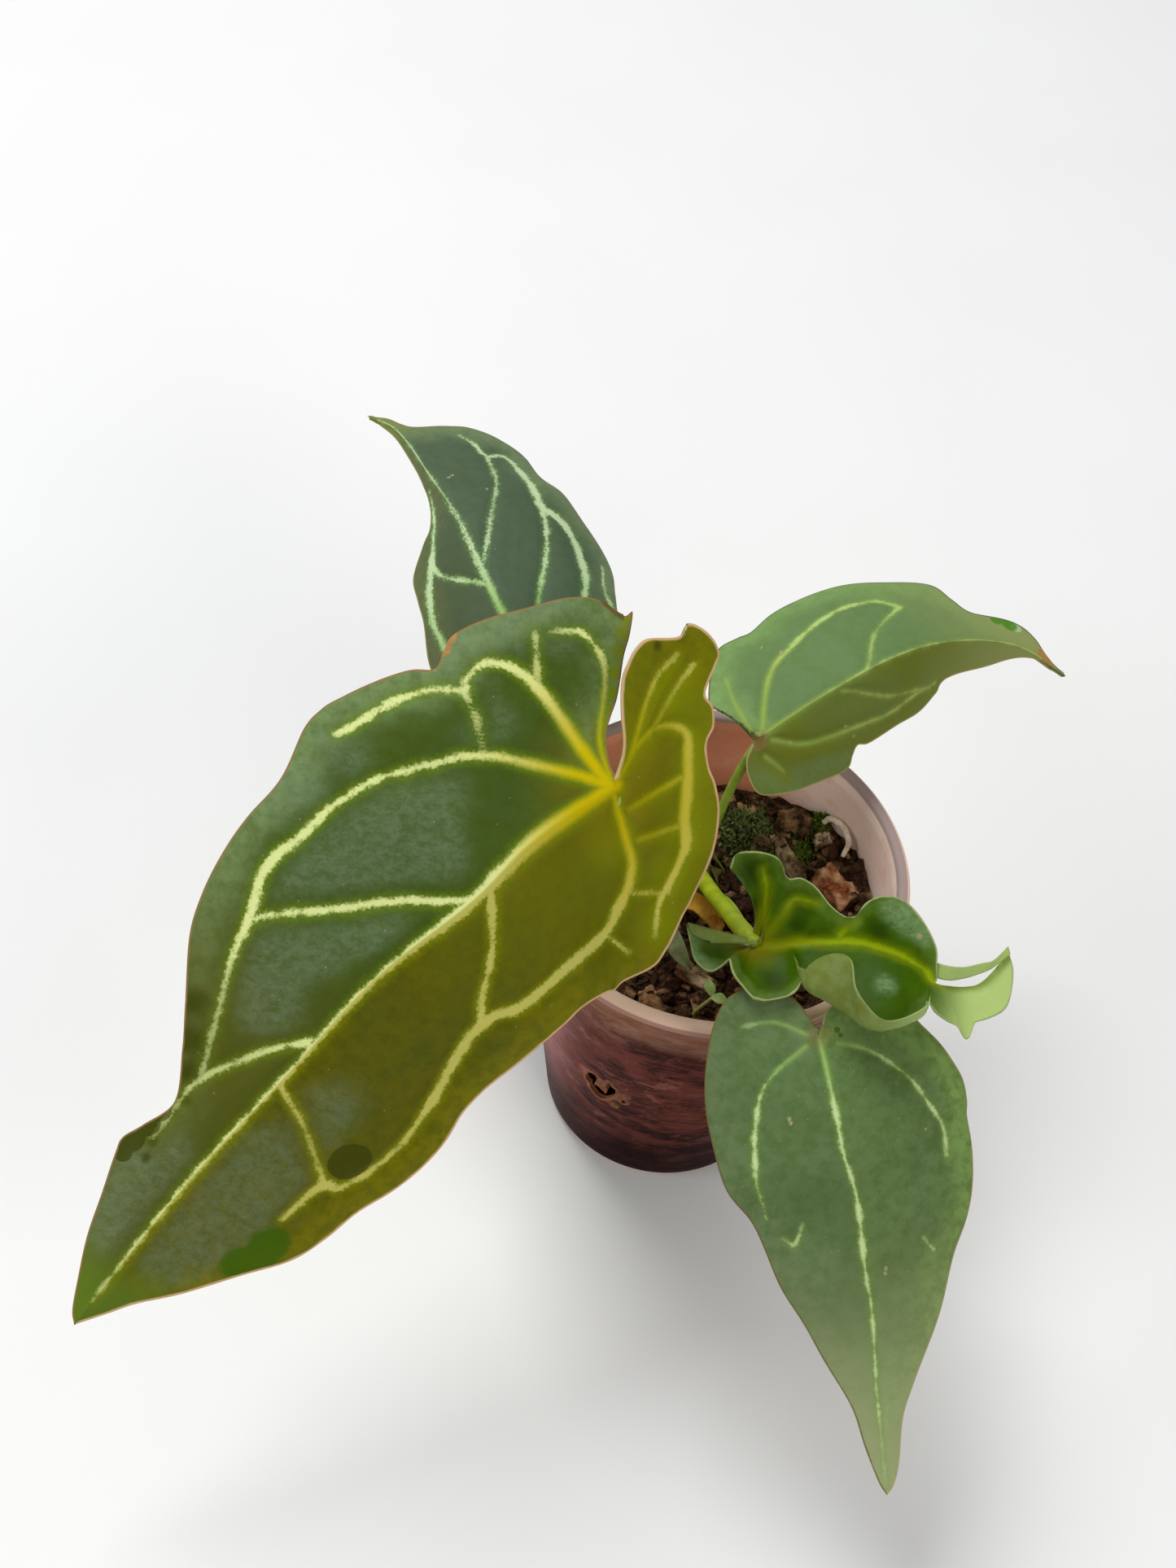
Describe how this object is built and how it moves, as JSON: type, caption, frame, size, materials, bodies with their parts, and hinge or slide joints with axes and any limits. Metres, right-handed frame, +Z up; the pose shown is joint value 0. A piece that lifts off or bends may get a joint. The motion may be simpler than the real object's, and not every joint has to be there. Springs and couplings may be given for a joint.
{
  "type": "potted houseplant",
  "caption": "Young velvet-leaf aroid with broad drooping heart-shaped leaves on stalks from one crown, standing in bark mix in a small tapered translucent nursery pot.",
  "frame": {"origin": "centre of the pot's flat underside", "axes": "+Z up along the pot's axis, -Y towards the front of the pot where the front leaf hangs over the rim, +X to the right seen from the front"},
  "size_m": [0.127, 0.1498, 0.1121],
  "materials": {
    "pot_plastic": "thin translucent brown-mauve plastic with darker streaks",
    "potting_mix": "damp dark bark and peat crumbs",
    "bark": "rough bark",
    "bark_reddish": "fibrous reddish bark",
    "bark_pale": "weathered bark",
    "moss_dark": "dark moss",
    "moss_bright": "fresh moss",
    "root": "cream root skin",
    "crown": "stem base with dry sheaths",
    "stalk": "smooth green stalk",
    "stalk_new": "glossy lime green stalk",
    "leaf_velvet": "dark velvety leaf with pale yellow-green veins",
    "leaf_grey_green": "velvety grey-green leaf with silver-green veins",
    "leaf_mid_green": "soft mid-green leaf with light veins",
    "leaf_new": "glossy fresh green leaf",
    "withered_sheath": "dry yellow-brown sheath",
    "juvenile": "pale green with brown tints"
  },
  "bodies": {
    "root": {"pot": "pot_plastic", "potting_mix": "potting_mix", "bark_chip_long": "bark", "bark_chip_reddish": "bark_reddish", "bark_chip_pale": "bark_pale", "bark_chip_back": "bark", "bark_chip_upright": "bark_pale", "bark_chip_left": "bark", "moss_dark": "moss_dark", "moss_bright": "moss_bright", "surface_root": "root", "crown": "crown", "petiole_front_left": "stalk", "petiole_back_left": "stalk", "petiole_back_right": "stalk", "petiole_newest": "stalk_new", "petiole_front": "stalk", "blade_front_left": "leaf_velvet", "blade_back_left": "leaf_grey_green", "blade_back_right": "leaf_mid_green", "blade_front": "leaf_grey_green", "blade_newest": "leaf_new", "withered_sheath": "withered_sheath", "juvenile_leaf": "juvenile", "weed_seedling": "juvenile"}
  },
  "joints": []
}
